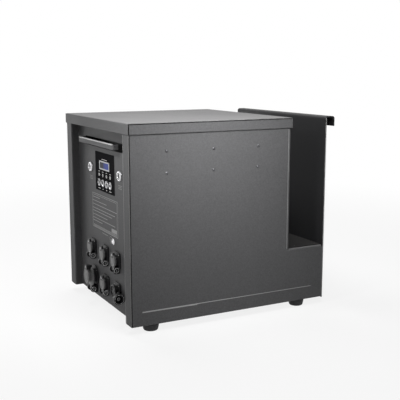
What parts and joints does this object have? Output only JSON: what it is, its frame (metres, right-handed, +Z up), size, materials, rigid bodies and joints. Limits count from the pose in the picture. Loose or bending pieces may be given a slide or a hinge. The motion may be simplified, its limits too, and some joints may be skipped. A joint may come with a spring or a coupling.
{
  "type": "stage flame machine",
  "caption": "Metal-cased stage flame machine with a recessed control panel, hinged lid, open flame chamber and swivelling flame head.",
  "frame": {"origin": "centre of the whole machine's footprint, at the underside of the feet", "axes": "+X from the control panel end to the flame chamber end, +Y from the near side to the hinged far side, +Z up"},
  "size_m": [0.5422, 0.4266, 0.468],
  "materials": {
    "case_paint": "fine textured powder coat, dark grey",
    "chamber_paint": "fine textured powder coat, black",
    "grip_steel": "satin",
    "foot_rubber": "matt",
    "keypad_film": "satin film",
    "display_bezel": "satin silver",
    "bright_metal": "polished",
    "steel": "satin",
    "aluminium": "machined",
    "brass": "turned",
    "ceramic": "glazed",
    "circuit_board": "solder resist",
    "connector_plastic": "moulded",
    "flap_rubber": "satin rubber",
    "tank_plastic": "natural",
    "cap_plastic": "moulded",
    "hose_rubber": "smooth",
    "motor_body": "satin black"
  },
  "bodies": {
    "case": {"base_pan": "chamber_paint", "near_side_panel": "case_paint", "far_side_panel": "case_paint", "control_panel": "case_paint", "bulkhead": "case_paint", "chamber_tray": "chamber_paint", "heat_shield": "chamber_paint", "lid_hinge": "steel", "foot_near_left": "foot_rubber", "foot_far_left": "foot_rubber", "foot_near_right": "foot_rubber", "foot_far_right": "foot_rubber", "handle_grip": "grip_steel", "handle_pocket": "chamber_paint", "keypad_plate": "keypad_film", "display_module": "display_bezel", "control_board": "circuit_board", "key_switch_near": "bright_metal", "key_switch_far": "bright_metal", "earth_terminal": "bright_metal", "connector_1": "connector_plastic", "connector_2": "connector_plastic", "connector_3": "connector_plastic", "connector_4": "connector_plastic", "connector_5": "connector_plastic", "connector_6": "connector_plastic", "bearing_housing": "aluminium", "motor_bracket": "steel", "swivel_motor": "motor_body", "rotary_union": "brass", "fuel_tank": "tank_plastic", "pump_motor": "steel", "fuel_pump": "aluminium", "solenoid_valve": "brass", "suction_hose": "hose_rubber", "pressure_hose": "hose_rubber", "feed_hose": "hose_rubber", "power_supply": "aluminium", "ignition_transformer": "motor_body"},
    "lid": {"lid": "case_paint"},
    "flame_head": {"flame_head": "aluminium", "nozzle": "brass", "electrode_near": "ceramic", "electrode_far": "ceramic", "swivel_shaft": "steel", "swivel_gear": "steel"},
    "pinion": {"motor_pinion": "brass"},
    "button_1": {"button_1": "bright_metal"},
    "button_2": {"button_2": "bright_metal"},
    "button_3": {"button_3": "bright_metal"},
    "button_4": {"button_4": "bright_metal"},
    "key_plug_near": {"key_plug_near": "steel"},
    "key_plug_far": {"key_plug_far": "steel"},
    "flap_1": {"connector_flap_1": "flap_rubber"},
    "flap_2": {"connector_flap_2": "flap_rubber"},
    "flap_3": {"connector_flap_3": "flap_rubber"},
    "flap_4": {"connector_flap_4": "flap_rubber"},
    "flap_5": {"connector_flap_5": "flap_rubber"},
    "captive_cap": {"captive_cap": "flap_rubber"},
    "fuel_cap": {"fuel_cap": "cap_plastic"}
  },
  "joints": [
    {"name": "lid_opening", "type": "hinge", "parent": "case", "child": "lid", "pos_m": [-0.0594, 0.21035, 0.4396], "axis": [-1, 0, 0], "range_deg": [0, 105]},
    {"name": "head_swivel", "type": "hinge", "parent": "case", "child": "flame_head", "pos_m": [0.15, -0.00205, 0.308], "axis": [1, 0, 0], "range_deg": [-100, 100]},
    {"name": "pinion_spin", "type": "hinge", "parent": "case", "child": "pinion", "pos_m": [0.115, -0.00205, 0.26], "axis": [1, 0, 0], "range_deg": [-200, 200]},
    {"name": "button_1_press", "type": "slide", "parent": "case", "child": "button_1", "axis": [1, 0, 0], "range_m": [0, 0.001], "stiffness_N_per_m": 600, "springref_m": -0.001},
    {"name": "button_2_press", "type": "slide", "parent": "case", "child": "button_2", "axis": [1, 0, 0], "range_m": [0, 0.001], "stiffness_N_per_m": 600, "springref_m": -0.001},
    {"name": "button_3_press", "type": "slide", "parent": "case", "child": "button_3", "axis": [1, 0, 0], "range_m": [0, 0.001], "stiffness_N_per_m": 600, "springref_m": -0.001},
    {"name": "button_4_press", "type": "slide", "parent": "case", "child": "button_4", "axis": [1, 0, 0], "range_m": [0, 0.001], "stiffness_N_per_m": 600, "springref_m": -0.001},
    {"name": "key_turn_near", "type": "hinge", "parent": "case", "child": "key_plug_near", "pos_m": [-0.2449, -0.10605, 0.3425], "axis": [1, 0, 0], "range_deg": [0, 90]},
    {"name": "key_turn_far", "type": "hinge", "parent": "case", "child": "key_plug_far", "pos_m": [-0.2449, 0.08595, 0.3425], "axis": [1, 0, 0], "range_deg": [0, 90]},
    {"name": "flap_1_opening", "type": "hinge", "parent": "case", "child": "flap_1", "pos_m": [-0.2529, 0.07895, 0.12066], "axis": [0, -1, 0], "range_deg": [0, 120], "stiffness_Nm_per_rad": 0.02, "springref_deg": -20.05},
    {"name": "flap_2_opening", "type": "hinge", "parent": "case", "child": "flap_2", "pos_m": [-0.2529, -0.00705, 0.12066], "axis": [0, -1, 0], "range_deg": [0, 120], "stiffness_Nm_per_rad": 0.02, "springref_deg": -20.05},
    {"name": "flap_3_opening", "type": "hinge", "parent": "case", "child": "flap_3", "pos_m": [-0.2529, -0.08205, 0.12066], "axis": [0, -1, 0], "range_deg": [0, 120], "stiffness_Nm_per_rad": 0.02, "springref_deg": -20.05},
    {"name": "flap_4_opening", "type": "hinge", "parent": "case", "child": "flap_4", "pos_m": [-0.2556, 0.07195, 0.03609], "axis": [0, -1, 0], "range_deg": [0, 110], "stiffness_Nm_per_rad": 0.04, "springref_deg": -20.05},
    {"name": "flap_5_opening", "type": "hinge", "parent": "case", "child": "flap_5", "pos_m": [-0.2529, -0.00705, 0.04716], "axis": [0, -1, 0], "range_deg": [0, 120], "stiffness_Nm_per_rad": 0.02, "springref_deg": -20.05},
    {"name": "captive_cap_swing", "type": "hinge", "parent": "case", "child": "captive_cap", "pos_m": [-0.2524, -0.10255, 0.0685], "axis": [1, 0, 0], "range_deg": [-20, 20], "stiffness_Nm_per_rad": 0.03, "springref_deg": -1.72},
    {"name": "fuel_cap_turn", "type": "hinge", "parent": "case", "child": "fuel_cap", "pos_m": [-0.08165, -0.10905, 0.33], "axis": [0, 0, 1], "range_deg": [0, 90]}
  ],
  "couplings": [
    {"joint": "pinion_spin", "follows": "head_swivel", "ratio": -2}
  ]
}
